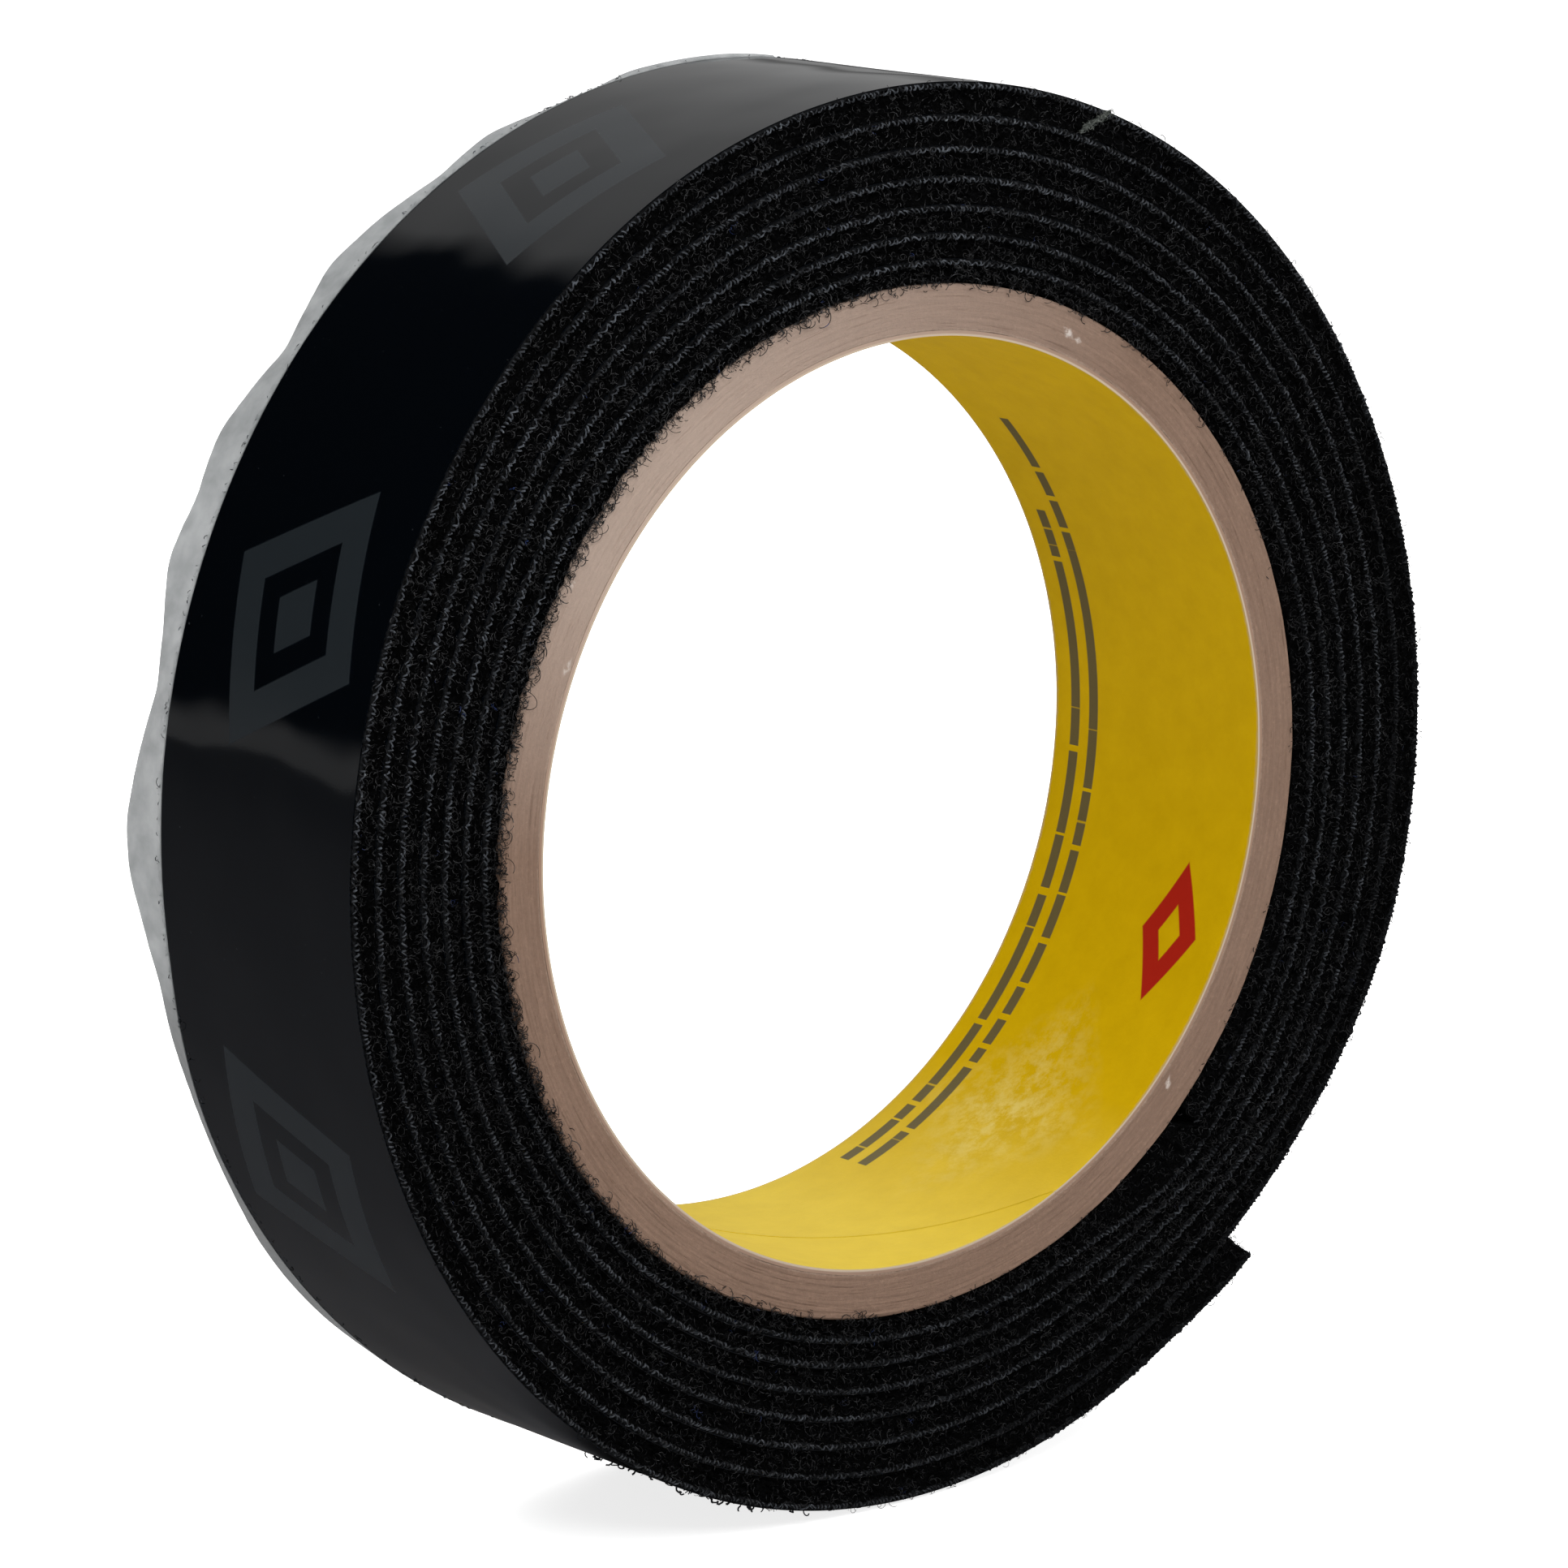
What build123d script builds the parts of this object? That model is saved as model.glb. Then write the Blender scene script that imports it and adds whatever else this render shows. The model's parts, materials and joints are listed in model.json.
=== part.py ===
"""A roll of adhesive-backed loop fastener tape wound on a spiral-wound paperboard core.

The bore's axis is Y, +Z is up, and the origin is the middle of the bore. The side that faces -Y is the
front. Angles are degrees about the bore, from +X towards +Z, so they run anticlockwise seen from the front.
The tape is a laminate of four strips: loop pile on the inside, woven backing, adhesive, and a release liner
on the outside. It is wound anticlockwise in seven wraps, each of which climbs over the first end of the tape.
A winding angle counts on from the first end through every wrap.
"""

import os
from math import ceil, cos, degrees, radians, sin

from build123d import *

# Core: a printed label ply inside, then board plies, each closed by a helical butt seam
BORE_RADIUS = 38.1
WIDTH = 25.4
LABEL_THICKNESS = 0.5
BOARD_THICKNESS = 0.535
BOARD_PLIES = 7
SEAM_PITCH = 138.0
SEAM_GAP = 0.2
SEAM_FRONT_ANGLE = -66.0
SEAM_STAGGER = -137.5
SEAM_OVERRUN = 1.5
CORE_RADIUS = BORE_RADIUS + LABEL_THICKNESS + BOARD_PLIES * BOARD_THICKNESS

# Tape laminate: depths below the liner's outer surface
LINER_DEPTH = 0.10
ADHESIVE_TOP_DEPTH = 0.12
ADHESIVE_DEPTH = 0.30
BACKING_DEPTH = 0.60
WRAP_GAP = 0.04

# Winding: the pitch varies round the roll, and the inner wraps are wound tighter
WRAPS = 7
PITCH = 2.19
PITCH_OVAL = -0.105
PITCH_LEAN = 0.065
TIGHTENING = 0.02
START_ANGLE = 315.0
START_LOFT = 0.9
START_LOFT_ANGLE = 335.0
START_LOFT_WRAPS = 5
STEP = 5.0

# Climb of each wrap over the first end: later wraps climb later and more gently
CLIMB_LEAD = 24.0
CLIMB_LEAD_LOSS = 3.0
CLIMB_SPAN = 22.0
CLIMB_SPAN_GAIN = 4.0

# Adhesive strip that holds the first end on the core
STARTER_THICKNESS = 0.15
STARTER_CLEARANCE = 0.06
STARTER_FROM = 2.0
STARTER_TO = 26.0

# Splice in the last wrap: a film between two cut ends that slant through the thickness
SPLICE_ANGLE = 69.6
SPLICE_SLANT = 1.06
SPLICE_FILM = 0.40
SPLICE_CLEARANCE = 0.06

# Free end: equal segments that flex about lines on the liner's outer surface
TAIL_ANGLE = 310.6
TAIL_SEGMENTS = 3
TAIL_SEGMENT_SPAN = 8.7
TAIL_FLARE = 0.9
TAIL_FLARE_SPAN = 16.0
FLEX_GAP = 0.06

# Stretch of the liner that stands out past the rear edge: scallops that grow from the first to the last, with
# hollows between them that are a share as deep, and then a narrow plain strip
SCALLOPS = 6
SCALLOP_FROM = 92.0
SCALLOP_SPAN = 16.0
SCALLOP_FIRST_REACH = 1.1
SCALLOP_LAST_REACH = 4.4
SCALLOP_HOLLOW = 0.4
SCALLOP_EDGES = 8
SCALLOP_OVERLAP = 0.02
PLAIN_REACH = 1.1
PLAIN_TO = 236.0


def last_wrap_turn(angle):
    """Winding angle at which the last wrap passes an angle about the bore."""
    return 360 * (WRAPS - 1) + (angle - START_ANGLE) % 360


START = 0.0
END = last_wrap_turn(TAIL_ANGLE)
SPLICE = last_wrap_turn(SPLICE_ANGLE)
TAIL = END - TAIL_SEGMENTS * TAIL_SEGMENT_SPAN


def ease(share):
    """Smooth step that rises from 0 to 1 as share does, and is flat outside that."""
    share = min(max(share, 0.0), 1.0)
    return share * share * (3 - 2 * share)


def wrap_count(turned):
    """How many wraps lie between the core and the outer surface, rising through each climb."""
    count = 1.0
    for climb in range(1, WRAPS):
        begins = 360.0 * climb - CLIMB_LEAD + CLIMB_LEAD_LOSS * (climb - 1)
        count += ease((turned - begins) / (CLIMB_SPAN + CLIMB_SPAN_GAIN * (climb - 1)))
    return count


def outer_radius(turned):
    """Radius of the liner's outer surface at a winding angle."""
    angle = START_ANGLE + turned
    pitch = PITCH + PITCH_OVAL * cos(radians(2 * angle)) + PITCH_LEAN * cos(radians(angle))
    wraps = wrap_count(turned)
    wound = pitch * wraps * (1 - TIGHTENING * (WRAPS - wraps))
    bump = max(0.0, cos(radians(angle - START_LOFT_ANGLE))) ** 2
    loft = START_LOFT * bump * max(0.0, 1 - turned / (360 * START_LOFT_WRAPS))
    flare = TAIL_FLARE * ease((turned - END) / TAIL_FLARE_SPAN + 1) ** 2
    return CORE_RADIUS + wound + loft + flare


def inner_radius(turned):
    """Radius of the pile's inner surface: on the wrap below, or on the core until the first climb."""
    if turned >= 360:
        return outer_radius(turned - 360) + WRAP_GAP
    on_core = CORE_RADIUS + STARTER_THICKNESS + WRAP_GAP
    climbed = ease((turned - 360 + CLIMB_LEAD) / CLIMB_SPAN)
    return on_core + climbed * (outer_radius(START) + WRAP_GAP - on_core)


def at_depth(depth):
    """Radius function of the surface that lies this deep in the laminate."""
    return lambda turned: outer_radius(turned) - depth


def above_core(height):
    """Radius function of a cylinder at a height above the core."""
    return lambda turned: CORE_RADIUS + height


def arc(length):
    """Degrees that a length covers round the outside of the roll."""
    return degrees(length / outer_radius(TAIL))


def spiral_points(radius_at, span):
    """Points along one surface of a strip: its two ends, and every whole step of winding between them."""
    begins, ends = span
    whole = [STEP * i for i in range(ceil(begins / STEP), ceil(ends / STEP))]
    turns = [begins] + [turned for turned in whole if turned > begins] + [ends]
    angles = [radians(START_ANGLE + turned) for turned in turns]
    return [(radius_at(t) * cos(a), radius_at(t) * sin(a)) for t, a in zip(turns, angles)]


def outline(outer, inner, outer_span, inner_span):
    """Closed corner list of a strip's cross-section. All its faces are flat, in steps round the roll."""
    return spiral_points(outer, outer_span) + spiral_points(inner, inner_span)[::-1]


def scallop_reach(angle):
    """How far the liner's scalloped edge stands out past the tape at an angle about the bore."""
    along = (angle - SCALLOP_FROM) / SCALLOP_SPAN
    peak = SCALLOP_FIRST_REACH + (SCALLOP_LAST_REACH - SCALLOP_FIRST_REACH) * along / SCALLOPS
    return peak * (SCALLOP_HOLLOW + (1 - SCALLOP_HOLLOW) * (0.5 - 0.5 * cos(radians(360 * along))))


def liner_band(span, front, rear):
    """Add a band of liner between two winding angles and two depths along Y to the part being built."""
    with BuildSketch(Plane.XZ.offset(-front)) as profile:
        with BuildLine():
            Polyline(*outline(outer_radius, at_depth(LINER_DEPTH), span, span), close=True)
        make_face()
    extrude(profile.sketch, amount=front - rear)


def cut_scallop(begins, ends):
    """Cut the liner back to its scalloped edge between two angles, with a cutter that points outwards."""
    middle = radians((begins + ends) / 2)
    onwards = (-sin(middle), 0, cos(middle))
    outwards = (cos(middle), 0, sin(middle))
    angles = [begins + (ends - begins) * i / SCALLOP_EDGES for i in range(SCALLOP_EDGES + 1)]
    radius = outer_radius(TAIL)
    edge = [(radius * sin(radians(a) - middle), -WIDTH / 2 - scallop_reach(a)) for a in angles]
    side = edge[-1][0] + SCALLOP_OVERLAP
    clear = -WIDTH / 2 - 2 * SCALLOP_LAST_REACH
    corners = [(-side, edge[0][1]), *edge, (side, edge[-1][1]), (side, clear), (-side, clear)]
    with BuildSketch(Plane(origin=(0, 0, 0), x_dir=onwards, z_dir=outwards)) as cutter:
        with BuildLine():
            Polyline(*corners, close=True)
        make_face()
    extrude(cutter.sketch, amount=2 * radius, mode=Mode.SUBTRACT)


def finish(piece, label):
    """Name a finished piece and write it to its own file."""
    piece.part.label = label
    export_step(piece.part, f"parts/{label}.step")


def strip(label, outer, inner, outer_span, inner_span):
    """A strip between two surfaces. Each span holds the winding angles where that surface begins and ends."""
    with BuildPart() as piece:
        with BuildSketch(Plane.XZ):
            with BuildLine():
                Polyline(*outline(outer, inner, outer_span, inner_span), close=True)
            make_face()
        extrude(amount=WIDTH / 2, both=True)
    finish(piece, label)


def ply(label, inner, thickness, seam_angle):
    """One ply of the core: a tube slit along a helix. seam_angle is where the slit meets the front edge."""
    front = -WIDTH / 2 - SEAM_OVERRUN
    with BuildPart() as piece:
        with BuildSketch(Plane.XZ):
            Circle(inner + thickness)
            Circle(inner, mode=Mode.SUBTRACT)
        extrude(amount=WIDTH / 2, both=True)
        with BuildLine() as slit:
            seam = Helix(
                pitch=SEAM_PITCH,
                height=WIDTH + 2 * SEAM_OVERRUN,
                radius=inner + thickness / 2,
                center=(0, front, 0),
                direction=(0, 1, 0),
            )
        with BuildSketch(Plane(seam @ 0, x_dir=seam @ 0 - Vector(0, front, 0), z_dir=seam % 0)):
            Rectangle(2 * thickness, SEAM_GAP)
        sweep(path=slit.wires()[0], is_frenet=True, mode=Mode.SUBTRACT)
    # The helix starts straight above the axis and turns towards smaller angles as it runs back.
    straight_up = 90.0
    built_angle = straight_up - 360 * SEAM_OVERRUN / SEAM_PITCH
    piece.part = piece.part.rotate(Axis.Y, built_angle - seam_angle)
    finish(piece, label)


def splice_cut(depth, offset=0.0):
    """Winding angle of the slanted splice at a depth, moved along the tape by an offset in millimetres."""
    return SPLICE + SPLICE_SLANT * depth + arc(offset)


splice_depth = outer_radius(SPLICE) - inner_radius(SPLICE)

os.makedirs("parts", exist_ok=True)

# Core
ply("core_label_ply", BORE_RADIUS, LABEL_THICKNESS, SEAM_FRONT_ANGLE)
for number in range(1, BOARD_PLIES + 1):
    inside = BORE_RADIUS + LABEL_THICKNESS + (number - 1) * BOARD_THICKNESS
    ply(f"core_board_ply_{number}", inside, BOARD_THICKNESS, SEAM_FRONT_ANGLE + SEAM_STAGGER * number)

# Starter strip under the first end of the tape
starter_span = (STARTER_FROM, STARTER_TO)
starter_faces = (above_core(STARTER_THICKNESS), above_core(STARTER_CLEARANCE))
strip("starter_adhesive", *starter_faces, starter_span, starter_span)

# Layers between the liner and the wrap below, from the outside in: name, outer surface, inner surface,
# and the depths of those two surfaces at the splice
layers = [
    ("adhesive", at_depth(ADHESIVE_TOP_DEPTH), at_depth(ADHESIVE_DEPTH), ADHESIVE_TOP_DEPTH, ADHESIVE_DEPTH),
    ("backing", at_depth(ADHESIVE_DEPTH), at_depth(BACKING_DEPTH), ADHESIVE_DEPTH, BACKING_DEPTH),
    ("loop_pile", at_depth(BACKING_DEPTH), inner_radius, BACKING_DEPTH, splice_depth),
]

# Wound tape: a long inner length up to the splice, and a short outer length from there to the free end
half_film = SPLICE_FILM / 2
roll_end = TAIL - arc(FLEX_GAP / 2)
for name, outer, inner, outer_depth, inner_depth in layers:
    outer_cut = splice_cut(outer_depth, -half_film)
    inner_cut = splice_cut(inner_depth, -half_film)
    strip(f"inner_length_{name}", outer, inner, (START, outer_cut), (START, inner_cut))
    outer_cut = splice_cut(outer_depth, half_film)
    inner_cut = splice_cut(inner_depth, half_film)
    strip(f"outer_length_{name}", outer, inner, (outer_cut, roll_end), (inner_cut, roll_end))

# Film in the splice
film = half_film - SPLICE_CLEARANCE
strip(
    "splice_film",
    at_depth(ADHESIVE_TOP_DEPTH),
    inner_radius,
    (splice_cut(ADHESIVE_TOP_DEPTH, -film), splice_cut(ADHESIVE_TOP_DEPTH, film)),
    (splice_cut(splice_depth, -film), splice_cut(splice_depth, film)),
)

# Free end: each segment is one body, and the liner of the last one is a body of its own
for number in range(1, TAIL_SEGMENTS + 1):
    begins = TAIL + (number - 1) * TAIL_SEGMENT_SPAN + arc(FLEX_GAP / 2)
    ends = TAIL + number * TAIL_SEGMENT_SPAN - arc(FLEX_GAP / 2)
    strip(f"tail_{number}_liner", outer_radius, at_depth(LINER_DEPTH), (begins, ends), (begins, ends))
    for name, outer, inner, *_ in layers:
        strip(f"tail_{number}_{name}", outer, inner, (begins, ends), (begins, ends))

# Release liner of the wound tape: one continuous film, part of which overhangs the rear edge
scallops_end = SCALLOP_FROM + SCALLOPS * SCALLOP_SPAN
rear = WIDTH / 2
with BuildPart() as release_liner:
    liner_band((START, roll_end), -rear, rear)
    scalloped = (last_wrap_turn(SCALLOP_FROM), last_wrap_turn(scallops_end))
    liner_band(scalloped, rear, rear + SCALLOP_LAST_REACH)
    for number in range(SCALLOPS):
        begins = SCALLOP_FROM + number * SCALLOP_SPAN
        cut_scallop(begins, begins + SCALLOP_SPAN)
    liner_band((last_wrap_turn(scallops_end), last_wrap_turn(PLAIN_TO)), rear, rear + PLAIN_REACH)
finish(release_liner, "release_liner")
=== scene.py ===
"""A roll of black loop fastener tape on a paperboard core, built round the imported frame.

Lengths are millimetres until a mesh is made, and angles are degrees about the bore, from +X towards +Z.
The front of the roll faces -Y. A winding angle counts on from the first end of the tape, as in the frame.
"""

import json
from math import cos, pi, radians, sin

import bpy
import numpy as np
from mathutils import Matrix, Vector

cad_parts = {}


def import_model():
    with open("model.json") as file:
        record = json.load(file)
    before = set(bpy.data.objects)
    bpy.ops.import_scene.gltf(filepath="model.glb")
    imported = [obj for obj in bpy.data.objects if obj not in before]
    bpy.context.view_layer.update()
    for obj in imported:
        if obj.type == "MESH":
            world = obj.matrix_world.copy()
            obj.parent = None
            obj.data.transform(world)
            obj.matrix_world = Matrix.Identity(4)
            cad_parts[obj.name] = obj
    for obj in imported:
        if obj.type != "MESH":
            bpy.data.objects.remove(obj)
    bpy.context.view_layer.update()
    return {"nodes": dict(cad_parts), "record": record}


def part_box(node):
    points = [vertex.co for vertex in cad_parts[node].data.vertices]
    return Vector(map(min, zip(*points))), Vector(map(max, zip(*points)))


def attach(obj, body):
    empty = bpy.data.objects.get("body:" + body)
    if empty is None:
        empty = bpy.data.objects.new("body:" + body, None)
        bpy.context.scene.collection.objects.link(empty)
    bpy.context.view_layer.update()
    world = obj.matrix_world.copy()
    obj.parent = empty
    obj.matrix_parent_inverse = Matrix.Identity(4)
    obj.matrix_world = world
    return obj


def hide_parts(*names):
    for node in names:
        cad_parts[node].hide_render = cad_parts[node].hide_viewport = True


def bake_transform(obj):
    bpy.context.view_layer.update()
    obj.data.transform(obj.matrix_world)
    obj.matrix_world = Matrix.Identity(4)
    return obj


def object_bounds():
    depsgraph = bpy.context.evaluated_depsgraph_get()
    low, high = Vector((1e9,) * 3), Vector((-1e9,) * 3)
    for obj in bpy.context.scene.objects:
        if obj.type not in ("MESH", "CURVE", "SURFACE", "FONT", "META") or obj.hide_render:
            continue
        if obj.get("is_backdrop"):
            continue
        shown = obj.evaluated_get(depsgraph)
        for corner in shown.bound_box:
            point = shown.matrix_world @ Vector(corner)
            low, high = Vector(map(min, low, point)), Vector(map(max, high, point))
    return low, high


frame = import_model()

MM = 0.001
rng = np.random.default_rng(7)


# ---------------------------------------------------------------- sizes from the frame

def half_size(node):
    """Half the X extent of a node, in millimetres."""
    low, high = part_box(node)
    return (high[0] - low[0]) / 2 / MM


BORE = next(mount for mount in frame["record"]["mounts"] if mount["name"] == "core_bore")["dims"]["r_mm"]
LABEL_OUTER = half_size("core_label_ply")
BOARD_PLIES = sum(name.startswith("core_board_ply_") for name in frame["nodes"])
CORE_RADIUS = half_size(f"core_board_ply_{BOARD_PLIES}")
PLY = (CORE_RADIUS - LABEL_OUTER) / BOARD_PLIES
HALF_WIDTH = -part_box("core_label_ply")[0][1] / MM

# Winding, the same formula as the frame's
WRAPS = 7
PITCH = 2.19
PITCH_OVAL = -0.105
PITCH_LEAN = 0.065
TIGHTENING = 0.02
START_ANGLE = 315.0
START_LOFT = 0.9
START_LOFT_ANGLE = 335.0
START_LOFT_WRAPS = 5
CLIMB_LEAD = 24.0
CLIMB_LEAD_LOSS = 3.0
CLIMB_SPAN = 22.0
CLIMB_SPAN_GAIN = 4.0
TAIL_ANGLE = 310.6
TAIL_SEGMENTS = 3
TAIL_SEGMENT_SPAN = 8.7
TAIL_FLARE = 0.9
TAIL_FLARE_SPAN = 16.0
SPLICE_ANGLE = 69.6
SPLICE_SLANT = 1.06
ON_CORE = 0.19
WRAP_GAP = 0.04

LINER = 0.10
ADHESIVE_TOP = 0.12
BACKING = 0.60

# Prints: places are (angle, depth across the roll), sizes run along the roll and across it.
# A mark is its place and tilt, a row of dashes its depth, first and last angle and pattern.
GHOST_RADIUS = 57.0
GHOST_SIZE = (24.0, 19.0)
GHOST_HOLE = (14.0, 11.0)
GHOST_DOT = (7.0, 5.5)
GHOST_MARKS = [((159.0, -1.0), 25.0), ((116.0, 1.0), -25.0), ((206.0, 2.0), -25.0)]
RED_AT = (-26.2, -6.2)
RED_SIZE = (12.6, 6.6)
RED_HOLE = (5.0, 2.6)
DASH_ROWS = [(7.8, -72.0, 44.0, 2.0), (10.1, -72.0, 27.5, 9.0)]
SCUFF_AT = (-56.0, 0.0)
SCUFF_SIZE = (15.0, 12.0)

# Pale nicks in the core's cut edge: angle, radius, length, height, tilt
NICKS = [(66.6, 40.4, 1.3, 0.7, 20.0), (64.8, 40.2, 0.6, 0.4, 0.0), (-44.6, 39.6, 1.1, 0.5, -30.0),
         (156.0, 39.1, 1.2, 0.5, 10.0), (147.6, 41.5, 0.7, 0.5, 0.0)]

LAST_WRAP = 360.0 * (WRAPS - 1)
END = LAST_WRAP + (TAIL_ANGLE - START_ANGLE) % 360
SPLICE = LAST_WRAP + (SPLICE_ANGLE - START_ANGLE) % 360
TAIL = END - TAIL_SEGMENTS * TAIL_SEGMENT_SPAN
ROLL_END = TAIL - TAIL_SEGMENT_SPAN / 2
TAIL_LIFT = 0.12
LAYERS = ("loop_pile", "backing", "adhesive")

# Core: grooves between plies, worn corners, fibrous cut, and the label's seam, lift and edges
GROOVE_DEPTH = 0.05
GROOVE_WIDTH = 0.07
WORN_DEPTH = 0.22
WORN_WIDTH = 0.10
BOARD_RECESS = 0.03
BOARD_FUZZ = 0.018
BOARD_WANDER = 0.02
WALL_ROWS = 4
SEAM_PITCH = 138.0
SEAM_FRONT_ANGLE = -66.0
SEAM_WIDTH = 0.16
SEAM_LIFTS = (0.10, 0.05)
SEAM_LIFT_FALL = 90
LABEL_RIPPLE = 0.006
LABEL_EDGE_HEIGHT = 0.05
LABEL_EDGE_WIDTH = 0.12

# Pile: its body's sides, and how the tape's cut end slants
PILE_ROWS = 8
PILE_STEP = 0.35
PILE_RECESS = 0.20
PILE_HOLLOW = 0.34
PILE_LUMPS = 0.15
PILE_OVERLAP = 0.05
PILE_TUCK = 0.02
FOOT_CLIMB = 3
END_SLANT = 0.6
END_SLANT_SPAN = 2.0

# Backing and liner, over the rows of one edge
BACKING_STEP = 0.3
BACKING_WOBBLE = (1, 1, 0.6, 0, 0, 0.6, 1, 1)
BACKING_ROWS = (0.0, 0.42, 0.72, 1.0)
BACKING_SUNK = (0.30, 0.20, 0.12, 0.20)
KNOT_SWELL = (0.2, 0.7, 1.0, 0.5)
KNOT_TURNS = (0.25, 0.55)
KNOT_DEPTH = 0.10
LINER_ROWS = 9
LINER_FRONT_RECESS = 0.22
LINER_REAR_RECESS = 0.10
LINER_SUNK = 0.02
LINER_WAVES = [(0.02, 5.3, 0.35, 0.6), (0.016, 11.1, 0.22, 0.0)]

# Loose fibre: radii of arcs and of the fibre, and how many to a square or a running millimetre
FRONT_DENSITY = 5.5
BACK_DENSITY = 2.5
FACE_DENSITY = 5.0
STRAY_DENSITY = 1.0
FIBRE = 0.024
FIBRE_SIDES = 3
FIBRE_UNEVEN = (0.7, 1.3)
CURL_SWEEP = (1.4, 4.2)
CURL_RISE = 0.6
LOOP_SIZE = (0.14, 0.42)
LOOP_SUNK = 0.12
LOOP_LIFT = (-0.15, 0.30)
OVER_RIDGE = 0.25
NEAR_RIDGE = 0.12
FACE_SIZE = (0.12, 0.26)
FACE_LIFT = (0.20, 0.32)
FIRST_WRAPS_END = 1300
CUT_THREADS = 900
CUT_SIZE = (0.08, 0.22)

# Fibre over the core's rim, gathered on the side away from the tail
RIM_FIBRE = 0.032
RIM_LOOPS = 1500
RIM_SIZE = (0.16, 0.46)
LARGE_RIM_LOOPS = 190
LARGE_RIM_SIZE = (0.40, 0.90)
RIM_GATHERED = 0.8
RIM_SPREAD = (175, 55)

# Weft turning round the edges of the backing
WEFT_SPACING = (0.28, 0.50)
WEFT_BOW = (0.10, 0.18)
WEFT_THICKNESS = (0.06, 0.10)
WEFT_SUNK = (-0.10, 0.06)
WEFT_WANDER = 0.03
WEFT_LEAN = 0.10
WEFT_ARC = 100

# Rear edge: knots, lint under the film, and the liner's overhang as (angle, reach)
SELVEDGE_KNOTS = 2200
KNOT_FIBRE = 0.035
KNOT_SIZE = (0.12, 0.26)
LINT = 90
LINT_FIBRE = 0.08
LINT_SIZE = (0.22, 0.45)
LINT_SPREAD = (252.0, 2.5)
LINT_SIDES = (-12.6, 4.0)
REAR_DRIFT = 1.0
REAR_DRIFT_FROM = 186
REAR_DRIFT_TO = 262
REAR_DRIFT_SPAN = 20
SKIRT_FROM = 84.0
SKIRT_TO = 260.0
SKIRT_REACH = [(84, 0.05), (92, 0.3), (98, 1.3), (103, 0.1), (107, 0.6), (112, 2.0), (119, 0.3), (124, 1.7),
               (130, 3.2), (134, 2.4), (138, 1.7), (142, 3.0), (146, 4.0), (152, 2.9), (157, 3.7), (162, 2.4),
               (167, 1.9), (172, 3.4), (178, 4.6), (182, 4.1), (186, 2.6), (191, 1.4), (197, 1.7), (209, 2.0),
               (222, 1.9), (236, 1.7), (246, 1.1), (253, 0.6), (260, 0.05)]
SKIRT_THICKNESS = 0.07
SKIRT_DROOP = 0.25
SKIRT_WAVES = 11

# Splice sliver
SPLICE_STEPS = 12
SPLICE_HALF = 0.20
SPLICE_TAPER = 0.08
SPLICE_CURLS = 90
SPLICE_CURL_SIZE = (0.10, 0.30)

# Camera, fitted to the rims
CAMERA_AZIMUTH = -39.916
CAMERA_ELEVATION = 12.059
CAMERA_DISTANCE = 534.33
CAMERA_TARGET = (-3.401, 0.0, 0.282)
CAMERA_FOCAL = 8046.4
CAMERA_SENSOR = 36.0
IMAGE_WIDTH = 1932


def ease(share):
    """Smooth step from 0 to 1."""
    share = np.clip(share, 0.0, 1.0)
    return share * share * (3 - 2 * share)


def outer_radius(turned):
    """Radius of the liner's outer surface at winding angles."""
    turned = np.asarray(turned, dtype=float)
    angle = START_ANGLE + turned
    wraps = np.ones_like(turned)
    for climb in range(1, WRAPS):
        begins = 360.0 * climb - CLIMB_LEAD + CLIMB_LEAD_LOSS * (climb - 1)
        wraps = wraps + ease((turned - begins) / (CLIMB_SPAN + CLIMB_SPAN_GAIN * (climb - 1)))
    pitch = PITCH + PITCH_OVAL * np.cos(np.radians(2 * angle)) + PITCH_LEAN * np.cos(np.radians(angle))
    wound = pitch * wraps * (1 - TIGHTENING * (WRAPS - wraps))
    swell = np.maximum(0.0, np.cos(np.radians(angle - START_LOFT_ANGLE))) ** 2
    loft = START_LOFT * swell * np.maximum(0.0, 1 - turned / (360 * START_LOFT_WRAPS))
    flare = TAIL_FLARE * ease((turned - END) / TAIL_FLARE_SPAN + 1) ** 2
    return CORE_RADIUS + wound + loft + flare


def inner_radius(turned):
    """Radius of the pile's inner surface at winding angles."""
    turned = np.asarray(turned, dtype=float)
    climbed = ease((turned - 360 + CLIMB_LEAD) / CLIMB_SPAN)
    first = CORE_RADIUS + ON_CORE
    on_core = first + climbed * (outer_radius(0.0) + WRAP_GAP - first)
    return np.where(turned >= 360, outer_radius(turned - 360) + WRAP_GAP, on_core)


def place(turned, radius, y):
    """Points from winding angle, radius and depth across the roll."""
    angle = np.radians(START_ANGLE + turned)
    depth = np.broadcast_to(y, np.shape(radius))
    return np.stack([radius * np.cos(angle), depth, radius * np.sin(angle)], axis=-1)


# ---------------------------------------------------------------- mesh helpers

def new_piece(name, points, faces, material, slot, body="roll", sharp=40.0):
    """A mesh object from points in millimetres and faces, with its material and body. The slot is not used.
    """
    mesh = bpy.data.meshes.new(name)
    mesh.from_pydata((np.asarray(points) * MM).tolist(), [], faces)
    mesh.validate()
    mesh.update()
    mesh.polygons.foreach_set("use_smooth", [True] * len(mesh.polygons))
    mesh.set_sharp_from_angle(angle=radians(sharp))
    piece = bpy.data.objects.new(name, mesh)
    bpy.context.collection.objects.link(piece)
    mesh.materials.append(material)
    if body:
        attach(piece, body)
    return piece


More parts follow.
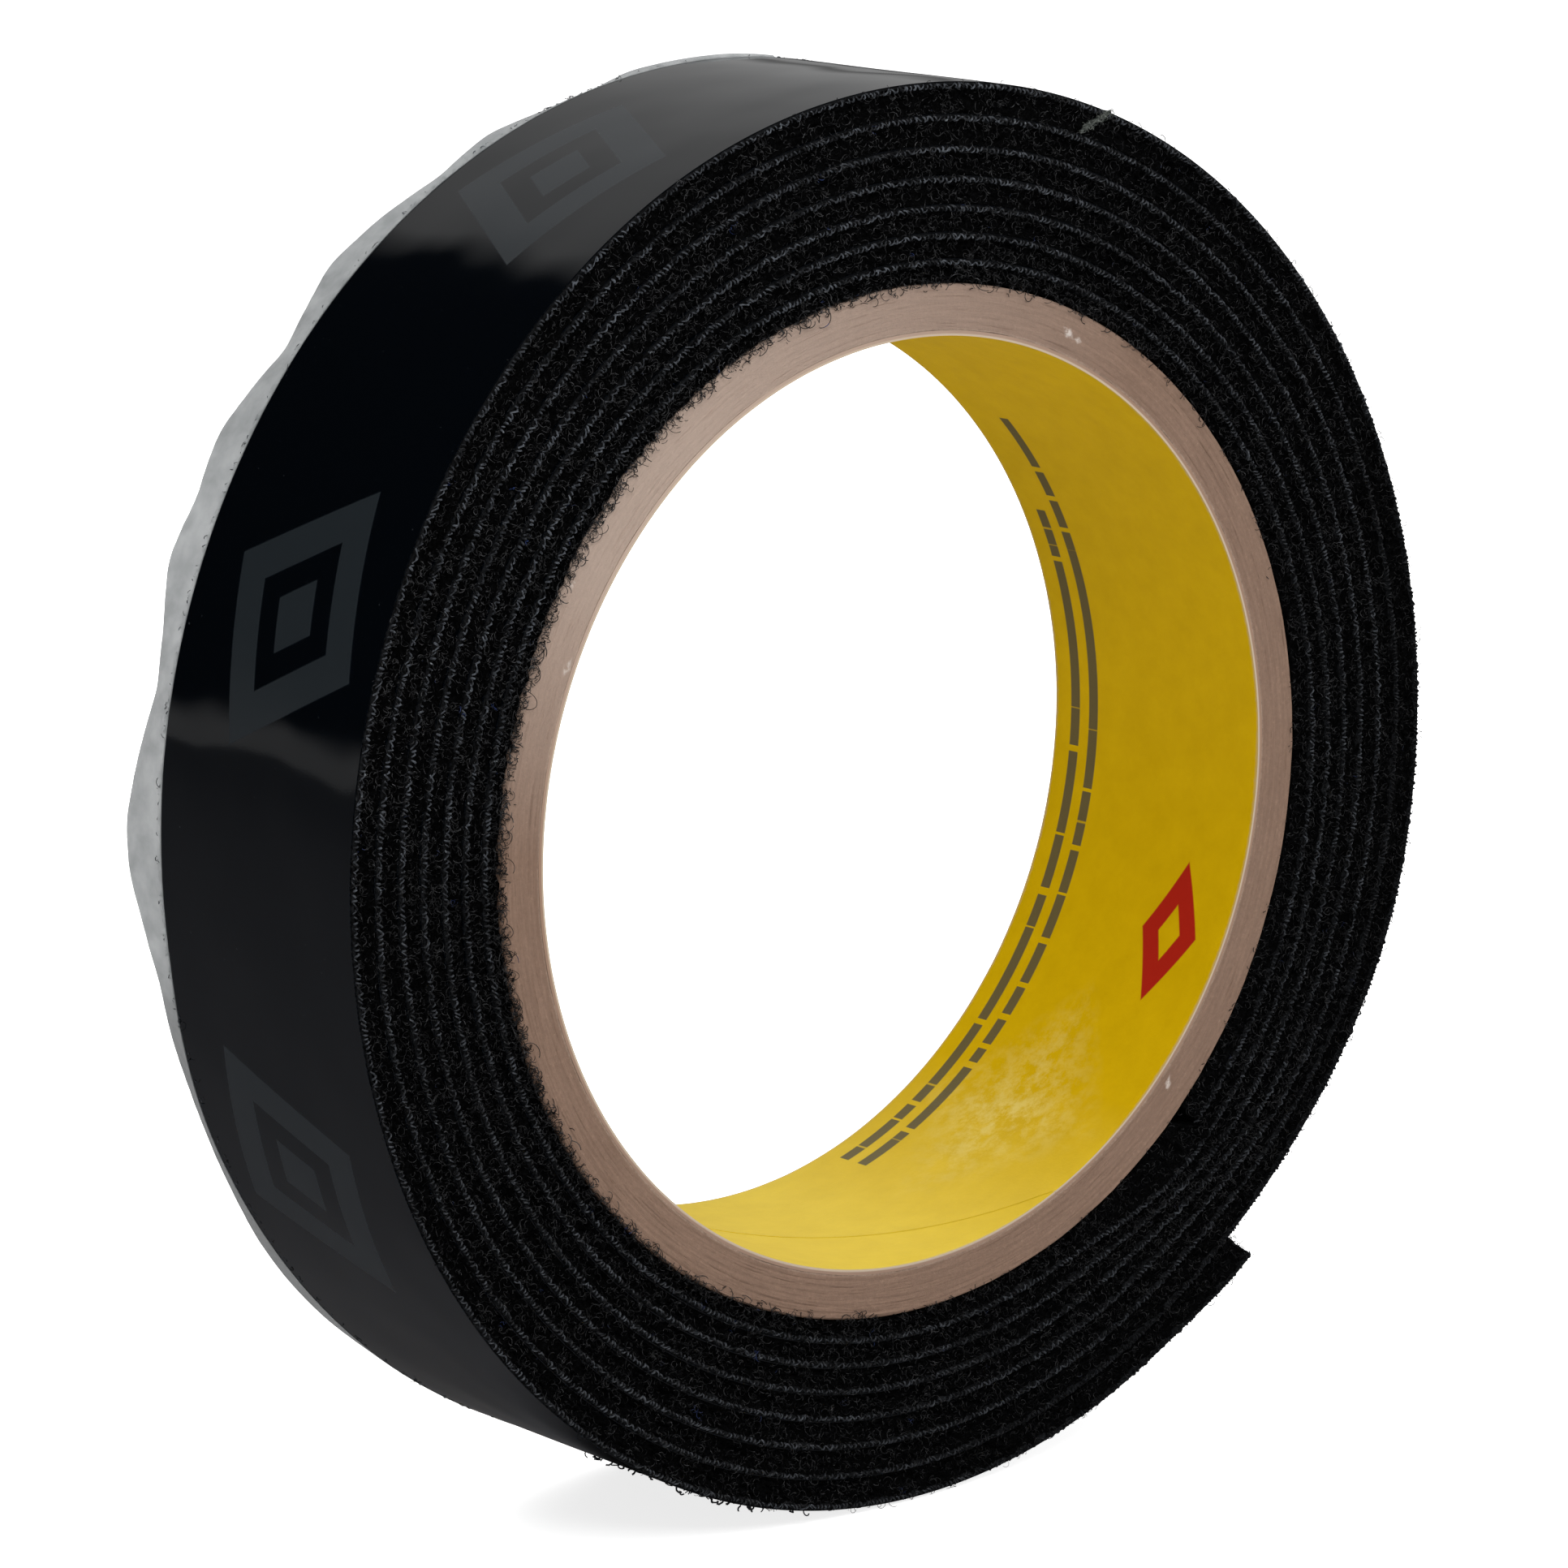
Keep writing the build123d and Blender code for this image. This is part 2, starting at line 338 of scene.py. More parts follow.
def loft_faces(rows, columns, ring=False):
    """Quads over rows of closed loops. The rows join into a ring, or the first and last are capped."""
    row = np.arange(rows if ring else rows - 1)[:, None]
    column = np.arange(columns)[None, :]
    beside = (column + 1) % columns
    here = row * columns
    above = (row + 1) % rows * columns
    corners = [here + column, here + beside, above + beside, above + column]
    faces = np.stack(corners, axis=-1).reshape(-1, 4).tolist()
    if not ring:
        faces.append(list(range(columns))[::-1])
        faces.append([(rows - 1) * columns + i for i in range(columns)])
    return faces


def strip(turns, radii, ys):
    """Points of a strip: radii and ys are (turns, loop) arrays, one closed loop per winding angle."""
    grid = place(turns.reshape(len(turns), -1), radii, ys)
    return grid.reshape(-1, 3), loft_faces(len(turns), radii.shape[1])


def turns_between(begins, ends, step):
    """Evenly spaced winding angles from begins to ends."""
    return np.linspace(begins, ends, max(3, int(round((ends - begins) / step)) + 1))


def join(parts):
    """One list of points and faces from several."""
    points = []
    faces = []
    count = 0
    for part_points, part_faces in parts:
        points.append(part_points)
        faces.extend([i + count for i in face] for face in part_faces)
        count += len(part_points)
    return np.concatenate(points), faces


def smooth_noise(shape, width, size):
    """Random heights along the first axis, averaged over a window of rows, with a given spread."""
    width = min(width, shape[0])
    raw = rng.normal(0.0, 1.0, shape)
    window = np.ones(width) / width
    padded = np.concatenate([raw[-width:], raw, raw[:width]])
    flat = np.apply_along_axis(lambda line: np.convolve(line, window, mode="same"), 0, padded)
    return flat[width:-width] * size * width**0.5


# ---------------------------------------------------------------- shader helpers

def new_material(name, colour, roughness, specular=0.5):
    """A material with its node tree and shader, and plain starting values."""
    material = bpy.data.materials.new(name)
    material.use_nodes = True
    shader = material.node_tree.nodes["Principled BSDF"]
    shader.inputs["Base Color"].default_value = (*colour, 1.0)
    shader.inputs["Roughness"].default_value = roughness
    shader.inputs["Specular IOR Level"].default_value = specular
    return material, material.node_tree, shader


def feed(tree, socket, value):
    """Links a socket to another, or sets it to a plain value."""
    if isinstance(value, bpy.types.NodeSocket):
        tree.links.new(value, socket)
    else:
        socket.default_value = value


def calc(tree, operation, *values):
    """A math node over numbers and sockets."""
    node = tree.nodes.new("ShaderNodeMath")
    node.operation = operation
    for socket, value in zip(node.inputs, values):
        feed(tree, socket, value)
    return node.outputs[0]


def polar(tree):
    """Angle in degrees, radius and depth in millimetres of the shaded point."""
    where = tree.nodes.new("ShaderNodeTexCoord")
    split = tree.nodes.new("ShaderNodeSeparateXYZ")
    tree.links.new(where.outputs["Object"], split.inputs[0])
    x, y, z = split.outputs
    angle = calc(tree, "MULTIPLY", calc(tree, "ARCTAN2", z, x), 180 / pi)
    square = calc(tree, "ADD", calc(tree, "MULTIPLY", x, x), calc(tree, "MULTIPLY", z, z))
    radius = calc(tree, "DIVIDE", calc(tree, "SQRT", square), MM)
    return angle, radius, calc(tree, "DIVIDE", y, MM)


def whole_turn(tree, angle):
    """An angle brought between 0 and 360 degrees."""
    return calc(tree, "MODULO", calc(tree, "ADD", angle, 720.0), 360.0)


def noise(tree, vector, scale, detail, roughness):
    """Noise value over a vector socket."""
    node = tree.nodes.new("ShaderNodeTexNoise")
    node.inputs["Scale"].default_value = scale
    node.inputs["Detail"].default_value = detail
    node.inputs["Roughness"].default_value = roughness
    feed(tree, node.inputs["Vector"], vector)
    return node.outputs[0]


def vector(tree, *parts):
    """A vector from three numbers or sockets."""
    node = tree.nodes.new("ShaderNodeCombineXYZ")
    for socket, value in zip(node.inputs, parts):
        feed(tree, socket, value)
    return node.outputs[0]


def position(tree):
    """The shaded point in millimetres."""
    where = tree.nodes.new("ShaderNodeTexCoord")
    node = tree.nodes.new("ShaderNodeVectorMath")
    node.operation = "SCALE"
    tree.links.new(where.outputs["Object"], node.inputs[0])
    node.inputs["Scale"].default_value = 1 / MM
    return node.outputs[0]


def span(tree, value, low, high, out_low=0.0, out_high=1.0):
    """Maps a value from one range to another, clamped."""
    node = tree.nodes.new("ShaderNodeMapRange")
    for socket, part in zip(node.inputs, (value, low, high, out_low, out_high)):
        feed(tree, socket, part)
    return node.outputs[0]


def mix(tree, share, first, second):
    """Mixes two colours, each a colour triple or a socket."""
    node = tree.nodes.new("ShaderNodeMix")
    node.data_type = "RGBA"
    feed(tree, node.inputs["Factor"], share)
    for socket, colour in zip((node.inputs[6], node.inputs[7]), (first, second)):
        feed(tree, socket, colour if isinstance(colour, bpy.types.NodeSocket) else (*colour, 1.0))
    return node.outputs[2]


def inside(tree, value, low, high, soft):
    """1 where a value lies between two limits, falling to 0 over a soft edge."""
    above = span(tree, value, low - soft, low)
    below = span(tree, value, high, high + soft, 1.0, 0.0)
    return calc(tree, "MULTIPLY", above, below)


def bump(tree, shader, height, distance):
    """Adds bump of a height in millimetres."""
    node = tree.nodes.new("ShaderNodeBump")
    node.inputs["Strength"].default_value = 1.0
    node.inputs["Distance"].default_value = distance * MM
    tree.links.new(height, node.inputs["Height"])
    tree.links.new(node.outputs[0], shader.inputs["Normal"])


def lozenge(tree, angle, y, centre, radius, size, tilt=0.0, soft=0.15):
    """Mask of a tilted diamond printed on a cylinder, centred on an angle and a depth."""
    width, height = size
    across = calc(tree, "MULTIPLY", calc(tree, "SUBTRACT", angle, centre[0]), radius * pi / 180)
    along = calc(tree, "SUBTRACT", y, centre[1])
    c, s = cos(radians(tilt)), sin(radians(tilt))
    u = calc(tree, "ADD", calc(tree, "MULTIPLY", across, c), calc(tree, "MULTIPLY", along, s))
    v = calc(tree, "SUBTRACT", calc(tree, "MULTIPLY", along, c), calc(tree, "MULTIPLY", across, s))
    far = calc(tree, "ADD", calc(tree, "DIVIDE", calc(tree, "ABSOLUTE", u), width / 2),
               calc(tree, "DIVIDE", calc(tree, "ABSOLUTE", v), height / 2))
    return span(tree, far, 1.0 - soft / height, 1.0 + soft / height, 1.0, 0.0)


# ---------------------------------------------------------------- materials

YARN_SHADE = (0.002, 0.002, 0.0025)
# Painted light: the core's cut edge is paler on the upper left, where the light falls.
PAINTED_LIGHT_BOARD = (0.52, 0.42, 0.355)


def pile_material():
    """Packed black loops in the depth between wraps."""
    material, tree, shader = new_material("packed_pile", (0.004, 0.004, 0.0045), 0.95, 0.04)
    deep, raised = (0.0005, 0.0005, 0.0006), (0.007, 0.0073, 0.008)
    grain = noise(tree, position(tree), 3.5, 6.0, 0.8)
    feed(tree, shader.inputs["Base Color"], mix(tree, span(tree, grain, 0.48, 0.72), deep, raised))
    bump(tree, shader, noise(tree, position(tree), 5.0, 5.0, 0.8), 0.35)
    return material


def in_shade(tree, inner=0.0):
    """How far yarn is darkened: on the outer wraps near the tail, and away from the lit upper left."""
    angle, radius, _ = polar(tree)
    tail_side = inside(tree, angle, -80.0, 20.0, 25.0)
    near_tail = calc(tree, "MULTIPLY", tail_side, span(tree, radius, 52.5, 54.0, inner, 0.85))
    lit = inside(tree, angle, 100.0, 160.0, 45.0)
    return calc(tree, "MAXIMUM", near_tail, span(tree, lit, 0.0, 1.0, 0.45, 0.0))


def fibre_material():
    """Nylon filament: black, with a few lighter and bluish ones."""
    material, tree, shader = new_material("loop_fibre", (0.02, 0.02, 0.022), 0.5, 0.2)
    black, light, blue = (0.0025, 0.0025, 0.003), (0.062, 0.063, 0.066), (0.015, 0.03, 0.11)
    where = position(tree)
    lighter = span(tree, noise(tree, where, 2.2, 3.0, 0.7), 0.48, 0.70)
    bluish = span(tree, noise(tree, where, 0.55, 2.0, 0.5), 0.70, 0.74)
    colour = mix(tree, bluish, mix(tree, lighter, black, light), blue)
    feed(tree, shader.inputs["Base Color"], mix(tree, in_shade(tree, 0.6), colour, YARN_SHADE))
    return material


def backing_material():
    """Woven backing with its adhesive, seen on edge: near black, with a little of the weave."""
    material, tree, shader = new_material("backing_weave", (0.004, 0.0045, 0.005), 0.8, 0.08)
    deep, raised = (0.0008, 0.0009, 0.001), (0.011, 0.012, 0.014)
    weave = noise(tree, position(tree), 2.5, 4.0, 0.8)
    feed(tree, shader.inputs["Base Color"], mix(tree, span(tree, weave, 0.42, 0.68), deep, raised))
    bump(tree, shader, weave, 0.15)
    return material


def ridge_material():
    """Turns of the weft at the selvedge: grey-blue filament with duller and brighter stretches."""
    material, tree, shader = new_material("selvedge_yarn", (0.05, 0.055, 0.065), 0.55, 0.2)
    deep, raised = (0.007, 0.0075, 0.009), (0.096, 0.106, 0.122)
    dull, bright = (0.006, 0.0065, 0.0075), (0.17, 0.185, 0.20)
    where = position(tree)
    turns = noise(tree, where, 0.9, 3.0, 0.8)
    stretch = noise(tree, where, 0.13, 3.0, 0.6)
    colour = mix(tree, span(tree, turns, 0.40, 0.62), deep, raised)
    colour = mix(tree, span(tree, stretch, 0.36, 0.54, 0.55, 0.0), colour, dull)
    colour = mix(tree, span(tree, noise(tree, where, 1.6, 2.0, 0.5), 0.70, 0.75), colour, bright)
    feed(tree, shader.inputs["Base Color"], mix(tree, in_shade(tree), colour, YARN_SHADE))
    bump(tree, shader, turns, 0.10)
    return material


def film_material():
    """Glossy release film over the black tape, with large matt diamonds printed on it."""
    clear, dusty, printed = (0.0005, 0.0012, 0.0023), (0.03, 0.033, 0.035), (0.014, 0.018, 0.0215)
    material, tree, shader = new_material("liner_film", clear, 0.07)
    angle, _, y = polar(tree)
    turn = whole_turn(tree, angle)
    marks = 0.0
    for centre, tilt in GHOST_MARKS:
        outer, hole, dot = [lozenge(tree, turn, y, centre, GHOST_RADIUS, size, tilt)
                            for size in (GHOST_SIZE, GHOST_HOLE, GHOST_DOT)]
        ring = calc(tree, "MAXIMUM", calc(tree, "SUBTRACT", outer, hole), dot)
        marks = calc(tree, "MAXIMUM", marks, ring)
    where = position(tree)
    dust = span(tree, noise(tree, where, 2.2, 3.0, 0.7), 0.715, 0.745)
    feed(tree, shader.inputs["Base Color"], mix(tree, marks, mix(tree, dust, clear, dusty), printed))
    feed(tree, shader.inputs["Roughness"], span(tree, marks, 0.0, 1.0, 0.07, 0.30))
    wave = noise(tree, where, 0.10, 1.0, 0.3)
    grain = calc(tree, "MULTIPLY", noise(tree, where, 6.0, 2.0, 0.5), 0.004)
    bump(tree, shader, calc(tree, "ADD", wave, grain), 0.22)
    return material


def skirt_material():
    """The liner where nothing lies under it: milky and see-through, and darker low on the left."""
    material, tree, shader = new_material("clear_film", (0.42, 0.44, 0.45), 0.3, 0.2)
    dull, milky, dark = (0.25, 0.265, 0.27), (0.40, 0.415, 0.42), (0.07, 0.075, 0.078)
    cloud = noise(tree, position(tree), 0.35, 3.0, 0.5)
    colour = mix(tree, span(tree, cloud, 0.35, 0.65), dull, milky)
    angle, _, _ = polar(tree)
    low = inside(tree, whole_turn(tree, angle), 196.0, 270.0, 8.0)
    feed(tree, shader.inputs["Base Color"], mix(tree, calc(tree, "MULTIPLY", low, 0.8), colour, dark))
    shader.inputs["Alpha"].default_value = 0.72
    bump(tree, shader, cloud, 0.3)
    return material


def painted_light_upper_left(tree, angle):
    """How much painted light pales the core's cut edge at an angle: most on the upper left, where the light
    falls.
    """
    return calc(tree, "MULTIPLY", span(tree, angle, 55.0, 125.0), span(tree, angle, 145.0, 178.0, 0.55, 0.0))


def board_material():
    """Raw kraft board: streaks along the plies, fibres and small pale nicks, with painted light on the upper
    left and a painted highlight along the inner rim.
    """
    material, tree, shader = new_material("kraft_board", (0.38, 0.26, 0.20), 0.85, 0.25)
    dark, light, fibre = (0.185, 0.114, 0.080), (0.30, 0.192, 0.138), (0.185, 0.118, 0.084)
    pit, fleck = (0.154, 0.097, 0.068), (0.42, 0.31, 0.235)
    nicked, rim_highlight_colour = (0.58, 0.51, 0.46), (0.50, 0.41, 0.33)
    angle, radius, y = polar(tree)
    where = position(tree)
    along_plies = vector(tree, calc(tree, "MULTIPLY", angle, 0.10), calc(tree, "MULTIPLY", radius, 3.2), 0.0)
    streaks = noise(tree, along_plies, 1.0, 6.0, 0.65)
    along_fibres = vector(tree, calc(tree, "MULTIPLY", angle, 0.9), calc(tree, "MULTIPLY", radius, 9.0), y)
    fibres = noise(tree, along_fibres, 1.0, 4.0, 0.7)
    grain = noise(tree, where, 2.6, 5.0, 0.75)
    colour = mix(tree, span(tree, streaks, 0.25, 0.75), dark, light)
    colour = mix(tree, span(tree, fibres, 0.35, 0.75, 0.0, 0.5), colour, fibre)
    colour = mix(tree, span(tree, grain, 0.35, 0.65, 0.45, 0.0), colour, pit)
    colour = mix(tree, span(tree, grain, 0.62, 0.75, 0.0, 0.5), colour, fleck)
    # Painted light: paler on the upper left, where the light falls.
    colour = mix(tree, painted_light_upper_left(tree, angle), colour, PAINTED_LIGHT_BOARD)
    ragged = span(tree, noise(tree, where, 1.8, 3.0, 0.7), 0.40, 0.55)
    for at, r, length, height, tilt in NICKS:
        nick = lozenge(tree, angle, radius, (at, r), r, (length, height), tilt, soft=0.35)
        colour = mix(tree, calc(tree, "MULTIPLY", nick, ragged), colour, nicked)
    # Painted highlight: a thin pale line along the inner rim, mottled by the grain.
    rim = span(tree, radius, LABEL_OUTER, LABEL_OUTER + 0.18, 0.45, 0.0)
    rim = calc(tree, "MULTIPLY", rim, span(tree, grain, 0.3, 0.6))
    feed(tree, shader.inputs["Base Color"], mix(tree, rim, colour, rim_highlight_colour))
    bump(tree, shader, calc(tree, "ADD", grain, fibres), 0.10)
    return material


def label_material():
    """Coated yellow paper with a red mark, two rows of dashes, a scuff and mottling, a painted sheen low in
    the bore, and a bare cut edge with painted light on the upper left.
    """
    material, tree, shader = new_material("yellow_label", (0.8, 0.55, 0.005), 0.45)
    yellows = (0.52, 0.335, 0.001), (0.59, 0.385, 0.002)
    painted_sheen_yellows = (0.64, 0.47, 0.030), (0.72, 0.54, 0.040)
    scuffed, ink, red = (0.72, 0.63, 0.24), (0.045, 0.05, 0.05), (0.36, 0.016, 0.008)
    paper, board = (0.45, 0.36, 0.27), (0.27, 0.175, 0.125)
    angle, radius, y = polar(tree)
    where = position(tree)
    # Painted sheen: low in the bore the yellow is painted paler, standing in for bright surroundings
    # reflected there; its specular level is raised there too.
    low = inside(tree, angle, -140.0, -85.0, 35.0)
    feed(tree, shader.inputs["Specular IOR Level"], span(tree, low, 0.0, 1.0, 0.02, 0.35))
    mottle = span(tree, noise(tree, where, 0.35, 5.0, 0.65), 0.25, 0.75)
    colour = mix(tree, low, mix(tree, mottle, *yellows), mix(tree, mottle, *painted_sheen_yellows))
    scuff = lozenge(tree, angle, y, SCUFF_AT, BORE, SCUFF_SIZE, soft=12.0)
    scuff = calc(tree, "MULTIPLY", scuff, span(tree, noise(tree, where, 0.6, 5.0, 0.7), 0.42, 0.62))
    colour = mix(tree, calc(tree, "MULTIPLY", scuff, 0.55), colour, scuffed)
    for row_y, first, last, seed in DASH_ROWS:
        bars = noise(tree, vector(tree, calc(tree, "MULTIPLY", angle, 0.62), seed, 0.0), 1.0, 1.0, 0.3)
        across = inside(tree, y, row_y - 0.5, row_y + 0.5, 0.12)
        row = calc(tree, "MULTIPLY", inside(tree, angle, first, last, 0.1), across)
        row = calc(tree, "MULTIPLY", row, span(tree, bars, 0.38, 0.40))
        colour = mix(tree, calc(tree, "MULTIPLY", row, 0.85), colour, ink)
    outer, hole = [lozenge(tree, angle, y, RED_AT, BORE, size) for size in (RED_SIZE, RED_HOLE)]
    colour = mix(tree, calc(tree, "SUBTRACT", outer, hole), colour, red)
    colour = mix(tree, span(tree, radius, BORE + 0.05, BORE + 0.08), colour, paper)
    # Painted light: the board under the label is paler on the upper left, where the light falls.
    board = mix(tree, painted_light_upper_left(tree, angle), board, PAINTED_LIGHT_BOARD)
    in_board = span(tree, radius, BORE + 0.20, BORE + 0.28)
    feed(tree, shader.inputs["Base Color"], mix(tree, in_board, colour, board))
    bump(tree, shader, noise(tree, where, 3.0, 4.0, 0.6), 0.02)
    return material


def splice_material():
    """Pale film with frayed ends."""
    material, tree, shader = new_material("splice_film", (0.30, 0.33, 0.31), 0.5)
    dark, light = (0.018, 0.022, 0.02), (0.15, 0.165, 0.145)
    grain = noise(tree, position(tree), 2.5, 4.0, 0.7)
    feed(tree, shader.inputs["Base Color"], mix(tree, span(tree, grain, 0.35, 0.65), dark, light))
    bump(tree, shader, grain, 0.1)
    return material


# ---------------------------------------------------------------- core

def core_board():
    """The board wall with a groove at each ply edge, worn corners and a fibrous cut."""
    ring = np.arange(0, 360, 0.75)
    across = np.linspace(0, 1, 44)
    radius = LABEL_OUTER + (CORE_RADIUS - LABEL_OUTER) * across
    to_ply = np.abs((radius - LABEL_OUTER + PLY / 2) % PLY - PLY / 2)
    groove = GROOVE_DEPTH * np.exp(-((to_ply / GROOVE_WIDTH) ** 2))
    worn = WORN_DEPTH * np.exp(-(((CORE_RADIUS - radius) / WORN_WIDTH) ** 2))
    sunk = groove + worn
    front = -HALF_WIDTH + sunk + BOARD_RECESS
    fuzz = smooth_noise((len(ring), 2 * len(across)), 5, BOARD_FUZZ)
    wander = smooth_noise((len(ring), 1), 40, BOARD_WANDER)
    inner_y = np.linspace(HALF_WIDTH - 0.5, -HALF_WIDTH + 0.5, WALL_ROWS)
    outside, inside_label = np.full(WALL_ROWS, CORE_RADIUS - 0.02), np.full(WALL_ROWS, LABEL_OUTER + 0.02)
    radii = np.concatenate([radius, outside, radius[::-1], inside_label])
    ys = np.concatenate([front, -inner_y, -front[::-1], inner_y])
    grid_r = np.tile(radii, (len(ring), 1))
    grid_y = np.tile(ys, (len(ring), 1))
    n = len(across)
    grid_y[:, :n] += fuzz[:, :n] + wander
    grid_y[:, n + WALL_ROWS : 2 * n + WALL_ROWS] += fuzz[:, n:] - wander
    points = place(ring[:, None] - START_ANGLE, grid_r, grid_y).reshape(-1, 3)
    faces = loft_faces(len(ring), len(radii), ring=True)
    piece = new_piece("core_board", points, faces, board_material(), "core_board", sharp=50)
    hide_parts(*[f"core_board_ply_{number}" for number in range(1, BOARD_PLIES + 1)])


def label_ply():
    """The yellow ply: one strip wrapped round and butted along a helical seam that stays slightly open."""
    ys = np.linspace(-HALF_WIDTH + 0.04, HALF_WIDTH - 0.04, 40)
    gap = 360 * SEAM_WIDTH / (2 * pi * BORE)
    share = np.linspace(0, 1, 241)
    seam = SEAM_FRONT_ANGLE - 360 * (ys + HALF_WIDTH) / SEAM_PITCH
    angle = seam[None, :] + gap / 2 + share[:, None] * (360 - gap)
    begins, ends = SEAM_LIFTS
    lift = begins * np.exp(-share * SEAM_LIFT_FALL) + ends * np.exp(-(1 - share) * SEAM_LIFT_FALL)
    ripple = smooth_noise((len(share), len(ys)), 9, LABEL_RIPPLE)
    inner = BORE + 0.02 - lift[:, None] + np.abs(ripple)
    edge = np.minimum(ys - ys[0], ys[-1] - ys)
    inner = inner + LABEL_EDGE_HEIGHT * np.exp(-edge / LABEL_EDGE_WIDTH)[None, :]
    outer = np.full_like(inner, LABEL_OUTER)
    angles = np.concatenate([angle, angle[:, ::-1]], axis=1)
    radii = np.concatenate([inner, outer[:, ::-1]], axis=1)
    depth = np.concatenate([ys, ys[::-1]])
    points = place(angles - START_ANGLE, radii, np.tile(depth, (len(share), 1))).reshape(-1, 3)
    faces = loft_faces(len(share), len(depth))
    piece = new_piece("label_ply", points, faces, label_material(), "label_paper", sharp=35)
    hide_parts("core_label_ply")


# ---------------------------------------------------------------- tape layers

def pile_foot(turns):
    """Inner radius of the pile: it fills the wedge by the first end, and stands off under the tail."""
    climbed = ease((turns - (360 - FOOT_CLIMB)) / FOOT_CLIMB)
    first = CORE_RADIUS + ON_CORE
    filled = first + climbed * (outer_radius(0.0) - first)
    eased_off = inner_radius(turns) - PILE_TUCK + TAIL_LIFT * ease((turns - ROLL_END) / TAIL_SEGMENT_SPAN)
    return np.where(turns >= 360, eased_off, filled)


def pile_strip(begins, ends, slant=0.0):
    """The pile's body: lumpy on the two sides, with its outer and inner faces against the wraps.

    A slant draws the inner side of the last rows back by that many degrees.
    """
    turns = turns_between(begins, ends, PILE_STEP)
    outer = outer_radius(turns) - BACKING + PILE_OVERLAP
    inner = pile_foot(turns)
    across = np.linspace(0, 1, PILE_ROWS)
    sides = inner[:, None] + (outer - inner)[:, None] * across
    hollow = PILE_HOLLOW * np.sin(pi * across)
    front = -HALF_WIDTH + PILE_RECESS + hollow + smooth_noise((len(turns), PILE_ROWS), 2, PILE_LUMPS)
    back = HALF_WIDTH - PILE_RECESS - hollow + smooth_noise((len(turns), PILE_ROWS), 2, PILE_LUMPS)
    radii = np.concatenate([sides, sides[:, ::-1]], axis=1)
    depth_share = 1 - np.concatenate([across, across[::-1]])
    drawn = slant * ease((turns - ends) / END_SLANT_SPAN + 1)[:, None] * depth_share
    return strip(turns[:, None] - drawn, radii, np.concatenate([front, back[:, ::-1]], axis=1))


def backing_strip(begins, ends):
    """The woven backing with its adhesive: a thin band whose two edges are knotted by the weft's turns."""
    turns = turns_between(begins, ends, BACKING_STEP)
    outer = outer_radius(turns) - ADHESIVE_TOP
    inner = outer_radius(turns) - BACKING
    depth = (outer - inner)[:, None]
    wobble = smooth_noise((len(turns), 1), 9, 0.05) * np.array(BACKING_WOBBLE)
    weft = 0.5 + 0.5 * np.cos(2 * pi * np.cumsum(rng.uniform(*KNOT_TURNS, (len(turns), 2)), axis=0))
    knots = KNOT_DEPTH * weft + np.abs(smooth_noise((len(turns), 2), 2, 0.05))
    share = np.array(BACKING_ROWS)
    radii = inner[:, None] + depth * np.concatenate([share, share[::-1]]) + wobble
    sunk = np.array(BACKING_SUNK)
    swell = np.array(KNOT_SWELL)
    front = -HALF_WIDTH + sunk[None, :] - knots[:, :1] * swell
    back = HALF_WIDTH - sunk[None, ::-1] + knots[:, 1:] * swell[::-1]
    return strip(turns, radii, np.concatenate([front, back], axis=1))


def rear_drift(angle):
    """How far the last wrap's film has wandered out past the rear edge at an angle."""
    rises = ease((angle - REAR_DRIFT_FROM) / REAR_DRIFT_SPAN)
    return REAR_DRIFT * rises * ease((REAR_DRIFT_TO - angle) / REAR_DRIFT_SPAN)


def liner_strip(begins, ends, step=1.0):
    """The release liner: a thin film, slightly wavy, whose rear edge wanders out on part of the last wrap."""
    turns = turns_between(begins, ends, step)
    outer = outer_radius(turns)
    ys = np.linspace(-HALF_WIDTH + LINER_FRONT_RECESS, HALF_WIDTH - LINER_REAR_RECESS, LINER_ROWS)
    drift = rear_drift((START_ANGLE + turns) % 360) * (turns > LAST_WRAP) * (turns < ROLL_END)
    wave = sum(height * np.sin(np.radians(turns * around))[:, None] * np.sin(ys * across + shift)[None, :]
               for height, around, across, shift in LINER_WAVES)
    top = outer[:, None] + wave - LINER_SUNK
    radii = np.concatenate([top, top[:, ::-1] - LINER + LINER_SUNK], axis=1)
    depth = np.tile(np.concatenate([ys, ys[::-1]]), (len(turns), 1))
    depth[:, LINER_ROWS - 1 : LINER_ROWS + 1] += drift[:, None]
    return strip(turns, radii, depth)


# ---------------------------------------------------------------- loose loops

def basis(count):
    """Random pairs of unit directions at right angles to each other."""
    first = rng.normal(size=(count, 3))
    first /= np.linalg.norm(first, axis=1, keepdims=True)
    second = rng.normal(size=(count, 3))
    second -= np.sum(second * first, axis=1, keepdims=True) * first
    second /= np.linalg.norm(second, axis=1, keepdims=True)
    return first, second


def tube_faces(count, steps, sides):
    """Faces of many closed tubes, each of the same number of steps and sides."""
    tube = np.array(loft_faces(steps, sides)[:-2])
    caps = np.array([list(range(sides))[::-1], [(steps - 1) * sides + i for i in range(sides)]])
    base = (np.arange(count) * steps * sides)[:, None, None]
    return (tube[None] + base).reshape(-1, 4).tolist() + (caps[None] + base).reshape(-1, sides).tolist()


